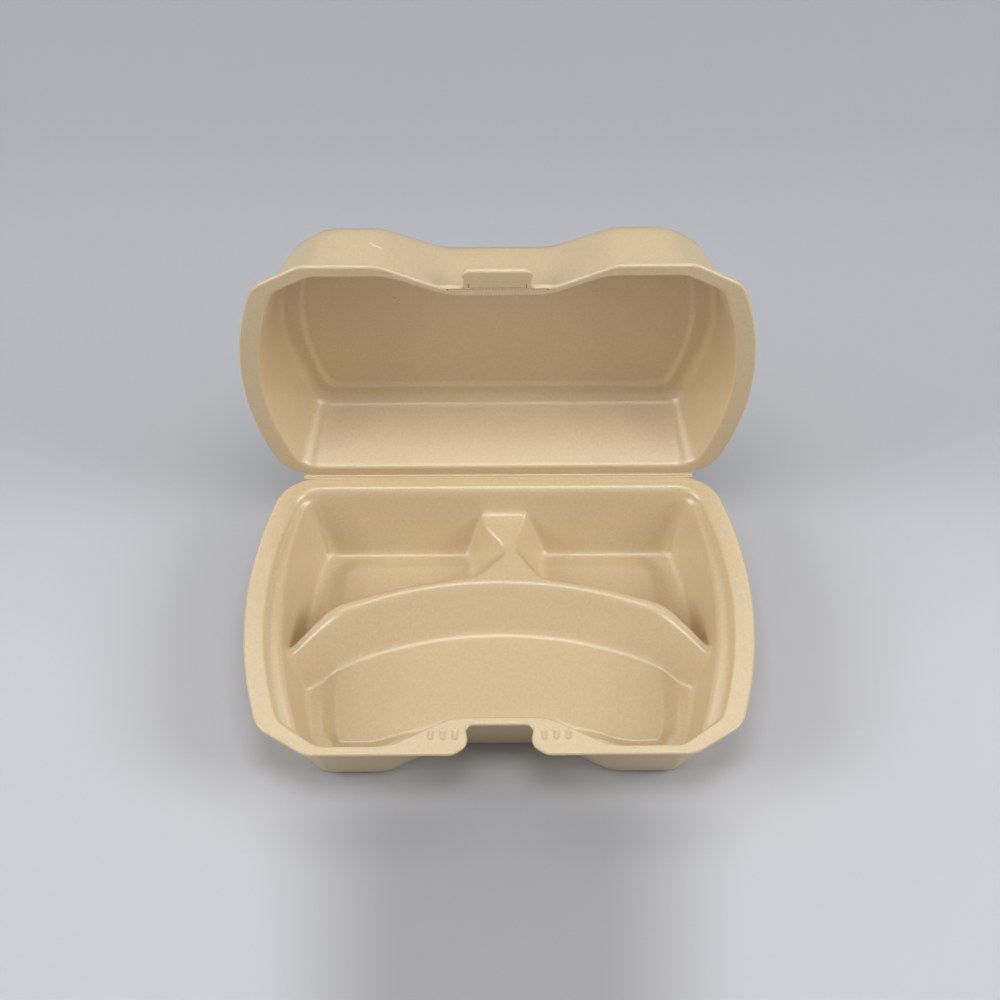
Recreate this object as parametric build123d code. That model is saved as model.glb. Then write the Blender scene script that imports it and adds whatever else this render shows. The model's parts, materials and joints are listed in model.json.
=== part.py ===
from build123d import *
from math import asin, atan2, cos, hypot, pi, radians, sin, sqrt, tan
import os

# Hinged three-compartment food box moulded from one foam sheet.
# X runs along the hinge, the front faces -Y and +Z is up.
# Plan points are (x, d) with d counted forward from the hinge line.

# overall
WIDTH = 240.0
SHEET = 2.3
FOOT_DEPTH = 37.0
FLOOR_RISE = 2.5
LID_DEPTH = 34.5
LID_PANEL_RISE = 1.5
LID_OPEN = 89.4
DRAFT = 17.0
SIDE_DRAFT = 15.0

# flange lands and edges
FRONT_EDGE = 159.3
LID_FRONT_EDGE = 158.6
REAR_LAND = 8.2
LID_REAR_LAND = 6.8
SIDE_LAND = 9.9
FRONT_LAND = 4.6
LID_FRONT_LAND = 7.1
WAIST = 15.6
LID_WAIST = 13.9
LEDGE_DEPTH = 3.5
LEDGE_SIDE = 17.2
LEDGE_STEP = 0.25

# floor, walls and dividers
FLOOR_R = 5.0
CORNER_R = 5.5
CEILING_R = 6.0
FILLET_ANGLES = (50.0, 90.0)
FILLET_LIMIT = 0.999
CREST_DEPTH = 13.5
CREST_MID = 54.0
CREST_R = 190.0
CREST_SHOULDER_IN = 42.5
CREST_WIDTH = 4.2
REAR_FOOT_RUN = 10.7
CREST_FOOT_RUN = 17.5
FOOT_ARC_R = 171.0
FOOT_SHOULDER_IN = 37.5
SHOULDER_R = 10.0
SHOULDER_ANGLE = 51.2
FOOT_SHOULDER_ANGLE = 35.0
DIVIDER_REACH = 5.0
PAD_SIDE = 41.5
PAD_WIDEST = 80.0
LID_PANEL_BAND = 8.8
PAD_REAR = 30.0
PAD_FRONT = 12.5

# hinge
HINGE_HALF = 94.0
BEAD_R = 0.8
GROOVE = 1.1
WEB = 0.45
RUNNING_FIT = 0.05
LID_GAP = 0.2

# lock
CREASE = 143.3
CREASE_GAP = 0.25
TAB_LENGTH = 12.0
TAB_HALF = 16.0
TAB_NECK_HALF = 15.35
TAB_STEP = 2.8
TAB_STEM_HALF = 13.2
TAB_CORNER_R = 3.9
TAB_FLARE = 2.2
TAB_GAP = 0.2
NOTCH_EDGE = 143.0
NOTCH_HALF = 16.1
NOTCH_NECK_HALF = 14.2
NOTCH_NECK = 153.8
NOTCH_CORNER_R = 3.6
NOTCH_MOUTH_R = 7.0
DIMPLE_LONG = 5.6
DIMPLE_WIDE = 2.4
DIMPLE_DEPTH = 0.8
DIMPLE_X = (20.6, 26.2, 31.8)
DIMPLE_D = 148.4

HALF = WIDTH / 2
HEIGHT = FOOT_DEPTH + SHEET
PAD_HALF = HALF - PAD_SIDE
SLOPE = tan(radians(DRAFT))
SIDE_SLOPE = tan(radians(SIDE_DRAFT))
SKIN = SHEET / cos(radians(DRAFT))
FOOT_FRONT = FRONT_EDGE - FRONT_LAND - FOOT_DEPTH * SLOPE
OPEN = radians(LID_OPEN)
LID_BACK = (LID_DEPTH + SHEET + LID_PANEL_RISE + LID_GAP / 2) * sin(OPEN)
LID_BACK -= (LID_REAR_LAND + LID_DEPTH * SLOPE + LID_PANEL_BAND) * cos(OPEN)
HINGE_Y = (FRONT_EDGE - LID_BACK) / 2
BEAD_Z = HEIGHT + LID_GAP / 2


def half_turn(points, i):
    """Tangent of half the turn at one corner of a closed polygon."""
    px, py = points[i - 1]
    cx, cy = points[i]
    nx, ny = points[(i + 1) % len(points)]
    turn = abs(atan2(ny - cy, nx - cx) - atan2(cy - py, cx - px))
    return tan(min(turn, 2 * pi - turn) / 2)


def fitted(points, radii):
    """Corner radii, each pair limited by the side between them."""
    count = len(points)
    cuts = [radii[i] * half_turn(points, i) for i in range(count)]
    share = [1.0] * count
    for i in range(count):
        after = (i + 1) % count
        side = hypot(points[after][0] - points[i][0], points[after][1] - points[i][1])
        limit = FILLET_LIMIT * side / max(cuts[i] + cuts[after], 1e-9)
        share[i] = min(share[i], limit)
        share[after] = min(share[after], limit)
    return [radius * part for radius, part in zip(radii, share)]


def corners(points, wanted):
    """Start, middle and end of each rounded corner of a closed polygon."""
    out = []
    count = len(points)
    radii = fitted(points, wanted)
    for i in range(count):
        px, py = points[i - 1]
        cx, cy = points[i]
        nx, ny = points[(i + 1) % count]
        la = hypot(cx - px, cy - py)
        lb = hypot(nx - cx, ny - cy)
        ux, uy = (cx - px) / la, (cy - py) / la
        vx, vy = (nx - cx) / lb, (ny - cy) / lb
        dot = ux * vx + uy * vy
        half = sqrt((1 - dot) / (1 + dot))
        cut = radii[i] * half
        sx, sy = vx - ux, vy - uy
        size = hypot(sx, sy)
        reach = radii[i] * (sqrt(1 + half * half) - 1)
        start = (cx - ux * cut, cy - uy * cut)
        middle = (cx + sx / size * reach, cy + sy / size * reach)
        end = (cx + vx * cut, cy + vy * cut)
        out.append((start, middle, end))
    return out


def place(point, z):
    return Vector(point[0], HINGE_Y - point[1], z)


def ring(shape, z):
    """Closed wire of straight sides and corner arcs at height z."""
    arcs = corners(*shape)
    edges = []
    for i, (start, middle, end) in enumerate(arcs):
        onward = arcs[(i + 1) % len(arcs)][0]
        edges.append(Edge.make_three_point_arc(place(start, z), place(middle, z), place(end, z)))
        edges.append(Edge.make_line(place(end, z), place(onward, z)))
    return Wire(edges)


def handed(points):
    """+1 or -1 for the sense in which a polygon is listed."""
    total = 0.0
    for i in range(len(points)):
        total += points[i - 1][0] * points[i][1] - points[i][0] * points[i - 1][1]
    return 1 if total > 0 else -1


def shifted(points, steps):
    """Polygon whose side from point i to the next moves outward by steps[i]."""
    turn = handed(points)
    count = len(points)
    lines = []
    for i in range(count):
        ax, ay = points[i]
        bx, by = points[(i + 1) % count]
        size = hypot(bx - ax, by - ay)
        nx, ny = turn * (by - ay) / size, -turn * (bx - ax) / size
        lines.append((nx, ny, nx * ax + ny * ay + steps[i]))
    out = []
    for i in range(count):
        a1, b1, c1 = lines[i - 1]
        a2, b2, c2 = lines[i]
        det = a1 * b2 - a2 * b1
        out.append(((c1 * b2 - c2 * b1) / det, (a1 * c2 - a2 * c1) / det))
    return out


def grown(shape, step):
    """Polygon and corner radii offset outward by one distance."""
    points, radii = shape
    turn = handed(points)
    count = len(points)
    new_radii = []
    for i in range(count):
        px, py = points[i - 1]
        cx, cy = points[i]
        nx, ny = points[(i + 1) % count]
        cross = (cx - px) * (ny - cy) - (cy - py) * (nx - cx)
        sign = 1 if cross * turn > 0 else -1
        new_radii.append(max(radii[i] + sign * step, 0.6))
    return shifted(points, [step] * count), new_radii


def mirrored(half, radii):
    """Closed shape from the points of its right half, rear to front."""
    other = [(-x, d) for x, d in reversed(half)]
    return half + other, radii + list(reversed(radii))


def hull(low, low_z, high, high_z):
    """Drafted solid between two rings."""
    return Solid.make_loft([ring(low, low_z), ring(high, high_z)], ruled=True)


def plate(shape, low, high):
    return extrude(Face(ring(shape, low)), high - low, dir=(0, 0, 1))


# plan outlines, rear to front
FLANGE = mirrored(
    [(HALF - 17.9, 0.0), (HALF + 9.05, 75.5), (HALF - 7.6, 143.75), (HALF - 30.25, FRONT_EDGE)],
    [21.8, 208.0, 15.0, 10.5],
)
LID_FLANGE = mirrored(
    [
        (HALF - 17.9, 0.0),
        (HALF + 9.05, 75.5),
        (HALF - 7.7, 143.4),
        (HALF - 29.9, LID_FRONT_EDGE),
        (54.0, LID_FRONT_EDGE),
        (26.0, CREASE),
    ],
    [21.8, 208.0, 15.0, 10.5, 18.0, 16.0],
)
RIM_FRONT = FRONT_EDGE - FRONT_LAND
RIM = mirrored(
    [
        (HALF - SIDE_LAND - 15.6, REAR_LAND),
        (HALF - SIDE_LAND + 8.6, 76.0),
        (HALF - SIDE_LAND - 7.0, 140.1),
        (HALF - 35.5, RIM_FRONT),
        (50.5, RIM_FRONT),
        (22.5, RIM_FRONT - WAIST),
    ],
    [13.0, 198.0, 10.0, 9.0, 24.0, 24.0],
)
LID_RIM_FRONT = LID_FRONT_EDGE - LID_FRONT_LAND
LID_RIM = mirrored(
    [
        (HALF - SIDE_LAND - 15.1, LID_REAR_LAND),
        (HALF - SIDE_LAND + 9.0, 75.5),
        (HALF - SIDE_LAND - 6.5, 139.5),
        (HALF - 34.6, LID_RIM_FRONT),
        (50.5, LID_RIM_FRONT),
        (22.5, LID_RIM_FRONT - LID_WAIST),
    ],
    [14.0, 198.0, 11.0, 9.0, 22.0, 22.0],
)

# walls below the side ledges
LEDGE_IN = LEDGE_DEPTH * SLOPE + LEDGE_STEP
BODY = mirrored(
    [
        (HALF - LEDGE_SIDE - 10.8, REAR_LAND + LEDGE_IN),
        (HALF - LEDGE_SIDE + 6.9, 76.3),
        (HALF - LEDGE_SIDE - 9.2, 146.2),
        (HALF - 36.4, RIM_FRONT - LEDGE_IN),
        (50.0, RIM_FRONT - LEDGE_IN),
        (22.0, RIM_FRONT - WAIST - LEDGE_IN),
    ],
    [11.0, 226.0, 9.0, 9.0, 25.0, 23.0],
)


def body_at(depth):
    """Wall outline at a depth below the rim plane."""
    run = depth - LEDGE_DEPTH
    wall, side = -run * SLOPE, -run * SIDE_SLOPE
    steps = [side, side, wall, wall, wall, wall, wall, wall, wall, side, side, wall]
    share = run / (FOOT_DEPTH - LEDGE_DEPTH)
    start = [11.0, 226.0, 9.0, 9.0, 25.0, 23.0]
    end = [7.5, 206.0, 8.0, 8.0, 34.0, 13.0]
    radii = [a + (b - a) * share for a, b in zip(start, end)]
    return shifted(BODY[0], steps), radii + list(reversed(radii))


# dividing lines between the compartments, at the crest and at the foot
def arc_run(x, radius):
    """Fall of an arc behind its middle at a distance x to one side."""
    return radius - sqrt(radius**2 - x**2)


def divider_line(mid, radius, shoulder_x, angle):
    """Arc through (0, mid) that bends at each shoulder into a straight run out to the side wall."""
    bend = SHOULDER_R * tan((radians(angle) - asin(shoulder_x / radius)) / 2)
    lean = asin(shoulder_x / hypot(radius, bend)) - atan2(bend, radius)
    apex = mid - radius * (1 / cos(lean) - 1)
    shoulder = (shoulder_x, apex + shoulder_x * tan(lean))
    run = HALF - shoulder_x
    end = (HALF + DIVIDER_REACH, shoulder[1] + (run + DIVIDER_REACH) * tan(radians(angle)))
    return [(0.0, apex), shoulder, end], [radius, SHOULDER_R, 2.0]


CREST_LINE = divider_line(CREST_MID, CREST_R, HALF - CREST_SHOULDER_IN, SHOULDER_ANGLE)
FOOT_MID = CREST_MID + CREST_FOOT_RUN
FOOT_LINE = divider_line(FOOT_MID, FOOT_ARC_R, HALF - FOOT_SHOULDER_IN, FOOT_SHOULDER_ANGLE)


# rear compartments, the post between them narrows to a waist
CREST_SHOULDER = CREST_LINE[0][1]
CREST_END = CREST_LINE[0][2]
FOOT_END = FOOT_LINE[0][2]
REAR_SHOULDER = (CREST_SHOULDER[0] + 1.9, CREST_SHOULDER[1] - CREST_WIDTH * 0.8)
REAR_CREST = (52.0, CREST_MID + arc_run(52.0, CREST_R) - CREST_WIDTH)
REAR_END = (CREST_END[0], CREST_END[1] - CREST_WIDTH * 1.4)
REAR_FOOT_SHOULDER = (CREST_SHOULDER[0], REAR_SHOULDER[1] - REAR_FOOT_RUN)
REAR_FOOT = (50.0, REAR_CREST[1] - REAR_FOOT_RUN + 1.5)
REAR_FOOT_END = (FOOT_END[0], FOOT_END[1] - 15.4)
RIGHT_TOP = (
    [
        REAR_END,
        REAR_SHOULDER,
        REAR_CREST,
        (19.5, CREST_MID - 3.3),
        (6.9, CREST_MID - 20.5),
        (17.4, 0.0),
    ],
    [10.0, 160.0, 8.0, 7.0, 4.0],
)
RIGHT_FOOT = (
    [
        REAR_FOOT_END,
        REAR_FOOT_SHOULDER,
        REAR_FOOT,
        (23.0, CREST_MID - 11.2),
        (21.6, CREST_MID - 21.5),
        (22.2, 0.0),
    ],
    [5.0, 150.0, 6.0, 12.0, 6.0],
)
LEFT_TOP = (
    [
        REAR_END,
        REAR_SHOULDER,
        REAR_CREST,
        (10.5, CREST_MID - 4.2),
        (-6.4, CREST_MID - 19.2),
        (7.4, CREST_MID - 34.5),
        (7.4, 0.0),
    ],
    [10.0, 160.0, 8.0, 4.0, 5.0, 3.0],
)
LEFT_FOOT = (
    [
        REAR_FOOT_END,
        REAR_FOOT_SHOULDER,
        REAR_FOOT,
        (15.6, CREST_MID - 11.6),
        (14.0, CREST_MID - 20.6),
        (14.4, CREST_MID - 25.4),
        (15.2, 0.0),
    ],
    [5.0, 150.0, 6.0, 12.0, 12.0, 6.0],
)


def between(low, high, share):
    """Blend of two lists of points or radii."""
    if isinstance(low[0], tuple):
        return [(a[0] + (b[0] - a[0]) * share, a[1] + (b[1] - a[1]) * share) for a, b in zip(low, high)]
    return [a + (b - a) * share for a, b in zip(low, high)]


def side_circle(depth):
    """Centre, radius and start angle of the bulged side wall at a depth."""
    walls, radii = body_at(depth)
    ax, ay = walls[0]
    bx, by = walls[1]
    size = hypot(bx - ax, by - ay)
    start = corners(walls, radii)[1][0]
    radius = fitted(walls, radii)[1]
    cx = start[0] - radius * (by - ay) / size
    cy = start[1] + radius * (bx - ax) / size
    return cx, cy, radius, asin((start[1] - cy) / radius)


def wall_hit(circle, near, far):
    """Distance forward at which a line from near to far crosses the side wall."""
    cx, cy, radius, _ = circle
    span = hypot(far[0] - near[0], far[1] - near[1])
    vx, vy = (far[0] - near[0]) / span, (far[1] - near[1]) / span
    along = (near[0] - cx) * vx + (near[1] - cy) * vy
    off = (near[0] - cx) ** 2 + (near[1] - cy) ** 2 - radius**2
    return near[1] + vy * (sqrt(along**2 - off) - along)


def arc_vertices(circle, first, last, near, far):
    """Vertex of the side arc between two angles and the corner where a line meets its tangent."""
    cx, cy, radius, _ = circle
    half, mid = (last - first) / 2, (last + first) / 2
    bulge = (cx + radius / cos(half) * cos(mid), cy + radius / cos(half) * sin(mid))
    tx, ty = cx + radius * cos(last), cy + radius * sin(last)
    dx, dy = -sin(last), cos(last)
    vx, vy = far[0] - near[0], far[1] - near[1]
    reach = ((near[1] - ty) * vx - (near[0] - tx) * vy) / (dy * vx - dx * vy)
    return bulge, (tx + reach * dx, ty + reach * dy)


def rear_room(top, foot, depth):
    """Plan of one rear compartment at a depth, listed for the right side."""
    share = (depth - CREST_DEPTH) / (FOOT_DEPTH - CREST_DEPTH)
    line = between(top[0], foot[0], share)
    radii = between(top[1], foot[1], share)
    walls, wall_radii = body_at(depth)
    circle = side_circle(depth)
    hit = wall_hit(circle, line[1], line[0])
    last = asin((hit - 3.0 * CORNER_R - circle[1]) / circle[2])
    bulge, tip = arc_vertices(circle, circle[3], last, line[1], line[0])
    points = [(line[-1][0], walls[0][1]), walls[0], bulge, tip] + line[1:-1]
    return points, [radii[-1], wall_radii[0], circle[2], CORNER_R] + radii[:-1]


def front_room(depth):
    """Plan of the front compartment at a depth."""
    share = (depth - CREST_DEPTH) / (FOOT_DEPTH - CREST_DEPTH)
    line = between(CREST_LINE[0], FOOT_LINE[0], share)
    radii = between(CREST_LINE[1], FOOT_LINE[1], share)
    walls, wall_radii = body_at(depth)
    circle = side_circle(depth)
    hit = wall_hit(circle, line[1], line[2])
    first = asin((hit + 0.8 * CORNER_R - circle[1]) / circle[2])
    side = corners(walls, wall_radii)[1][2]
    last = asin((side[1] - circle[1]) / circle[2])
    bulge, tip = arc_vertices(circle, last, first, line[1], line[2])
    right = [line[1], tip, bulge] + walls[2:6]
    half = [radii[1], CORNER_R, circle[2]] + wall_radii[2:6]
    left = [(-x, d) for x, d in reversed(right)]
    return [line[0]] + right + left, [radii[0]] + half + list(reversed(half))


def flipped(shape):
    return [(-x, d) for x, d in shape[0]], shape[1]


def rounded_bowl(plans, depths, floor_r, base_z, way):
    """Bowl through plans at depths whose last edge is rounded off onto the floor.

    plans are functions of depth; way is -1 for a floor below and +1 for a ceiling above.
    """
    lean = sin(radians(DRAFT))
    wall_end = depths[-1] - floor_r * (1 - lean)
    rings = [ring(plans(d), base_z + way * d) for d in depths[:-1] + [wall_end]]
    foot = plans(depths[-1])
    centre = floor_r * (1 - lean) / cos(radians(DRAFT))
    for angle in FILLET_ANGLES:
        inset = centre - floor_r * cos(radians(angle))
        height = floor_r * (1 - sin(radians(angle)))
        rings.append(ring(grown(foot, -inset), base_z + way * (depths[-1] - height)))
    return Solid.make_loft(rings, ruled=True)


def room_plans(step):
    """Plan functions of the three compartments, moved outward by step."""
    by = step * 1.1
    return (
        lambda depth: grown(front_room(depth), by),
        lambda depth: grown(rear_room(RIGHT_TOP, RIGHT_FOOT, depth), by),
        lambda depth: flipped(grown(rear_room(LEFT_TOP, LEFT_FOOT, depth), by)),
    )


def pad(step):
    """Raised middle of the floor, kept clear of the foot that runs round it."""
    front = FOOT_FRONT - PAD_FRONT
    half = [
        (PAD_HALF - 4.0, PAD_REAR),
        (PAD_HALF, PAD_WIDEST),
        (PAD_HALF - 1.5, front),
        (56.0, front),
        (28.0, front - WAIST),
    ]
    shape = mirrored(half, [7.0, 200.0, 7.0, 30.0, 14.0])
    top_z = SHEET + FLOOR_RISE - step
    return hull(grown(shape, 3.0 - step * 0.5), top_z - 3.5, grown(shape, -step * 0.5), top_z)


def base_skin(step):
    """Everything inside the moulding surface of the base, moved outward by step."""
    skin = step / cos(radians(DRAFT))
    ledge, crest = LEDGE_DEPTH + step, CREST_DEPTH + step
    solid = hull(grown(RIM, skin - ledge * SLOPE), HEIGHT - ledge, grown(RIM, skin), HEIGHT)
    solid += hull(grown(body_at(crest), skin), HEIGHT - crest, grown(body_at(ledge), skin), HEIGHT - ledge)
    for plan in room_plans(step):
        solid += rounded_bowl(plan, [crest, FOOT_DEPTH + step], FLOOR_R + step, HEIGHT, -1)
    return solid - pad(step)


def lid_plan(by):
    return lambda depth: grown(LID_RIM, by - depth * SLOPE)


def lid_skin(step):
    """Everything inside the moulding surface of the lid, mating face at z = 0."""
    skin = step / cos(radians(DRAFT))
    plan = lid_plan(skin)
    solid = rounded_bowl(plan, [0.0, LID_DEPTH + step], CEILING_R + step, 0.0, 1)
    ceiling = LID_DEPTH + step
    run, rise = LID_DEPTH * SLOPE + LID_PANEL_BAND, LID_PANEL_RISE
    front = LID_RIM_FRONT - run
    half = [
        (HALF - 38.5, LID_REAR_LAND + run),
        (HALF - 21.0, 76.0),
        (HALF - 34.5, front),
        (56.5, front),
        (28.5, front - LID_WAIST),
    ]
    panel = grown(mirrored(half, [7.0, 150.0, 7.0, 14.0, 34.0]), step * 0.3)
    solid += hull(panel, ceiling - 0.5, grown(panel, -rise - 0.5), ceiling + rise)
    return solid


def hinge_strip(low, high, near, far):
    """Thin web between a flange edge and the bead."""
    size = (2 * HINGE_HALF, far - near, high - low)
    return Pos(0, HINGE_Y - (near + far) / 2, (low + high) / 2) * Box(*size)


def notch():
    points = [
        (NOTCH_HALF, NOTCH_EDGE),
        (NOTCH_NECK_HALF, NOTCH_NECK),
        (NOTCH_NECK_HALF + 7.3, FRONT_EDGE + 1.2),
        (NOTCH_NECK_HALF + 7.3, FRONT_EDGE + 4.0),
    ]
    shape = mirrored(points, [NOTCH_CORNER_R, NOTCH_MOUTH_R, 0.3, 0.3])
    return plate(shape, HEIGHT - 2 * SHEET, HEIGHT + 1.0)


def dimples():
    """Small oblong dents either side of the notch."""
    pocket = None
    for x in DIMPLE_X:
        for side in (-1, 1):
            at = place((side * x, DIMPLE_D), HEIGHT - DIMPLE_DEPTH)
            slot = SlotOverall(DIMPLE_LONG, DIMPLE_WIDE, rotation=90)
            dent = Pos(at) * extrude(slot, DIMPLE_DEPTH + 1.0)
            pocket = dent if pocket is None else pocket + dent
    return pocket


def make_base():
    land = plate(FLANGE, HEIGHT - SHEET, HEIGHT)
    trim = Pos(0, HINGE_Y, HEIGHT) * Box(2 * HALF, 2 * GROOVE, 4 * SHEET)
    body = land - trim + base_skin(SHEET) - base_skin(0.0)
    body -= notch()
    body -= dimples()
    bead = Pos(0, HINGE_Y, BEAD_Z) * Rot(0, 90, 0) * Cylinder(BEAD_R, 2 * HINGE_HALF)
    web = hinge_strip(HEIGHT - WEB, HEIGHT, 0.0, GROOVE + 0.2)
    return body + web + bead


def tab_outline():
    """Tab beyond the crease: narrow stem, then the wide locking head."""
    stem, neck = CREASE + CREASE_GAP, CREASE + TAB_STEP + TAB_GAP
    points = [
        (TAB_STEM_HALF, stem),
        (TAB_STEM_HALF, neck),
        (TAB_NECK_HALF, neck),
        (TAB_HALF + 0.35, CREASE + TAB_LENGTH),
    ]
    return mirrored(points, [0.3, 0.3, 0.3, TAB_CORNER_R])


def make_lock_tab():
    return plate(tab_outline(), 0.0, SHEET)


def ear(side):
    """Flared root of the tab that stays on the lid flange."""
    inner, outer = TAB_STEM_HALF + CREASE_GAP, TAB_NECK_HALF
    wing, inside = outer + TAB_FLARE + 2.0, CREASE - 1.0
    points = [
        (inner, inside),
        (inner, CREASE + TAB_STEP),
        (outer, CREASE + TAB_STEP),
        (outer, CREASE),
        (wing, CREASE),
        (wing, inside),
    ]
    shape = ([(side * x, d) for x, d in points], [0.1, 0.2, 0.2, TAB_FLARE, 0.1, 0.1])
    return plate(shape, 0.0, SHEET)


def make_lid():
    """Lid in its closed attitude with the mating face at z = 0."""
    land = plate(LID_FLANGE, 0.0, SHEET)
    trim = Pos(0, HINGE_Y, 0) * Box(2 * HALF, 2 * GROOVE, 4 * SHEET)
    body = land - trim + lid_skin(SHEET) - lid_skin(0.0)
    body += ear(1)
    body += ear(-1)
    web = hinge_strip(0.0, WEB, 0.0, GROOVE + 0.2)
    socket = Pos(0, HINGE_Y, -LID_GAP / 2) * Rot(0, 90, 0) * Cylinder(BEAD_R + RUNNING_FIT, 2 * HALF)
    return body + web - socket


def opened(shape):
    """Lid part turned about the bead from closed to its standing pose."""
    axis = Axis((0, HINGE_Y, BEAD_Z), (-1, 0, 0))
    return (Pos(0, 0, HEIGHT + LID_GAP) * shape).rotate(axis, LID_OPEN)


def main():
    os.makedirs("parts", exist_ok=True)
    export_step(make_base(), "parts/base.step")
    export_step(opened(make_lid()), "parts/lid.step")
    export_step(opened(make_lock_tab()), "parts/lock_tab.step")


main()
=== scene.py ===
import json
import math

import bpy
import numpy as np
from mathutils import Matrix, Vector


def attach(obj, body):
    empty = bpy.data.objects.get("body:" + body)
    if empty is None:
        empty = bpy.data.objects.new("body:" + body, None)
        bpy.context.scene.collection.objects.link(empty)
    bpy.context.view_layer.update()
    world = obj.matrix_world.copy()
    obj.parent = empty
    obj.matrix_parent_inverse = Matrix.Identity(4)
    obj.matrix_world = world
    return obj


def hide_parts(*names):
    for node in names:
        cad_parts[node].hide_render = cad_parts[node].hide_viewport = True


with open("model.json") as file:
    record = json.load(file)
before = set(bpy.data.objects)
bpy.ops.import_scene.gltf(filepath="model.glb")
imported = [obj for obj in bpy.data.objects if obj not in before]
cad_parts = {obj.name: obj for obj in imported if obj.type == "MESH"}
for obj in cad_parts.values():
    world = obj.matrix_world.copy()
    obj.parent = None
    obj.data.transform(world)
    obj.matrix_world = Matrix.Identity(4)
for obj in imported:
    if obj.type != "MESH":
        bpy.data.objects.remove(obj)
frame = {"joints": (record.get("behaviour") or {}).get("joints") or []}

# Plan points are (x, d) in millimetres with d counted forward from the hinge line.
# Depth is counted down from the rim plane of the base and up from the rim plane of the lid.
# The far face of the sheet is the one turned away from the food. Its step is the thickness, the near face's is 0.

MM = 0.001
RECORD_HINGE = next(j for j in frame["joints"] if j["name"] == "lid_hinge")
HINGE = np.array(RECORD_HINGE["pos_m"])
LID_OPEN = -RECORD_HINGE["range_deg"][0]
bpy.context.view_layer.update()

HALF = 120.0
SHEET = 2.3
LID_GAP = 0.2
DRAFT = math.radians(17.0)
SLOPE = math.tan(DRAFT)
SIDE_SLOPE = math.tan(math.radians(15.0))
FOOT_DEPTH = 37.0
FLOOR_RISE = 2.5
LID_DEPTH = 34.5
LID_PANEL_RISE = 1.5
FRONT_EDGE = 159.3
LID_FRONT_EDGE = 158.6
GROOVE = 1.1
RIM_REAR = 8.2
RIM_FRONT = 154.7
RIM_WAIST = 139.1
LEDGE_DEPTH = 3.5
CREST_DEPTH = 13.5
CREST_MID = 54.0
FOOT_MID = 71.5
FOOT_ARC_R = 171.0
CREASE = 143.3
NOTCH_EDGE = 143.0
BEAD_R = 0.8
HINGE_HALF = 94.0
CUT_EDGE_R = 1.0
CREASE_EDGE_R = 0.12


def arc_path(points, radii):
    """Polyline of a path whose inner corners are arcs; its two ends stay sharp.

    Each arc runs between the tangent points that lie radius times the half turn's tangent from the corner.
    """
    pts = [np.array(p, float) for p in points]
    out = [pts[0][None]]
    for before, corner, after, radius in zip(pts, pts[1:], pts[2:], radii):
        u = (corner - before) / np.linalg.norm(corner - before)
        v = (after - corner) / np.linalg.norm(after - corner)
        turn = math.acos(np.clip(u @ v, -1, 1))
        if turn < 1e-4:
            out.append(corner[None])
            continue
        side = np.sign(u[0] * v[1] - u[1] * v[0])
        start = corner - u * radius * math.tan(turn / 2)
        centre = start + side * radius * np.array([-u[1], u[0]])
        count = int(max(turn / math.radians(2.5), turn * radius / 2.5)) + 2
        sweep = np.linspace(0, side * turn, count)[:, None]
        arm = start - centre
        out.append(centre + arm * np.cos(sweep) + np.array([-arm[1], arm[0]]) * np.sin(sweep))
    out.append(pts[-1][None])
    return np.concatenate(out)


def whole(half):
    """Closed outline from its right half, which runs from the rear centre to the front centre."""
    return np.concatenate([half, half[-2:0:-1] * [-1, 1]])


def offset(points, distance):
    """Points moved along the left normal of their own path."""
    along = np.gradient(points, axis=0)
    along /= np.linalg.norm(along, axis=1)[:, None]
    return points + distance * np.stack([-along[:, 1], along[:, 0]], 1)


BATCH = 6000


def inside(outline, plan):
    """Distance of each plan point from a closed outline, positive inside it.

    The distance is to the nearest of all straight pieces, the sign is the parity of crossings to the right.
    Points are taken in batches to spare memory.
    """
    a, b = outline, np.roll(outline, -1, 0)
    keep = np.linalg.norm(b - a, axis=1) > 1e-6
    a, b = a[keep], b[keep]
    side = b - a
    size = (side**2).sum(1)
    rise = np.where(np.abs(side[:, 1]) < 1e-9, 1e-9, side[:, 1])
    out = np.empty(len(plan))
    for first in range(0, len(plan), BATCH):
        x = plan[first : first + BATCH, 0][:, None]
        y = plan[first : first + BATCH, 1][:, None]
        t = np.clip(((x - a[:, 0]) * side[:, 0] + (y - a[:, 1]) * side[:, 1]) / size, 0, 1)
        gap = (a[:, 0] + t * side[:, 0] - x) ** 2 + (a[:, 1] + t * side[:, 1] - y) ** 2
        spans = (a[:, 1] > y) != (b[:, 1] > y)
        right = a[:, 0] + (y - a[:, 1]) / rise * side[:, 0] > x
        odd = (spans & right).sum(1) % 2 == 1
        out[first : first + BATCH] = np.sqrt(gap.min(1)) * np.where(odd, 1, -1)
    return out


def soft_min(a, b, blend):
    """Smaller of two heights, with a parabola of the given width across their crossing."""
    near = np.maximum(blend - np.abs(a - b), 0) / blend
    return np.minimum(a, b) - near**2 * blend / 4


def filleted(steep, flat, radius, slope):
    """Smaller of a wall's depth and a floor's, with an arc of the given radius where they meet.

    The wall runs slope sideways for each unit of depth. Past is the distance beyond the crossing line.
    """
    turn = math.pi / 2 - math.atan(slope)
    reach = radius * math.tan(turn / 2)
    past = (steep - flat) * slope
    arc = flat - radius + np.sqrt(np.maximum(radius**2 - (reach - past) ** 2, 0))
    return np.where(past > reach, flat, np.where(past < -reach * math.cos(turn), steep, arc))


def rounded(steep, flat, radius, slope):
    """Larger of the two, with the same arc over the edge."""
    return -filleted(-steep, -flat, radius, slope)


def ramp(value):
    """Smooth step from 0 to 1 while value goes from 0 to 1."""
    t = np.clip(value, 0, 1)
    return t * t * (3 - 2 * t)


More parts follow.
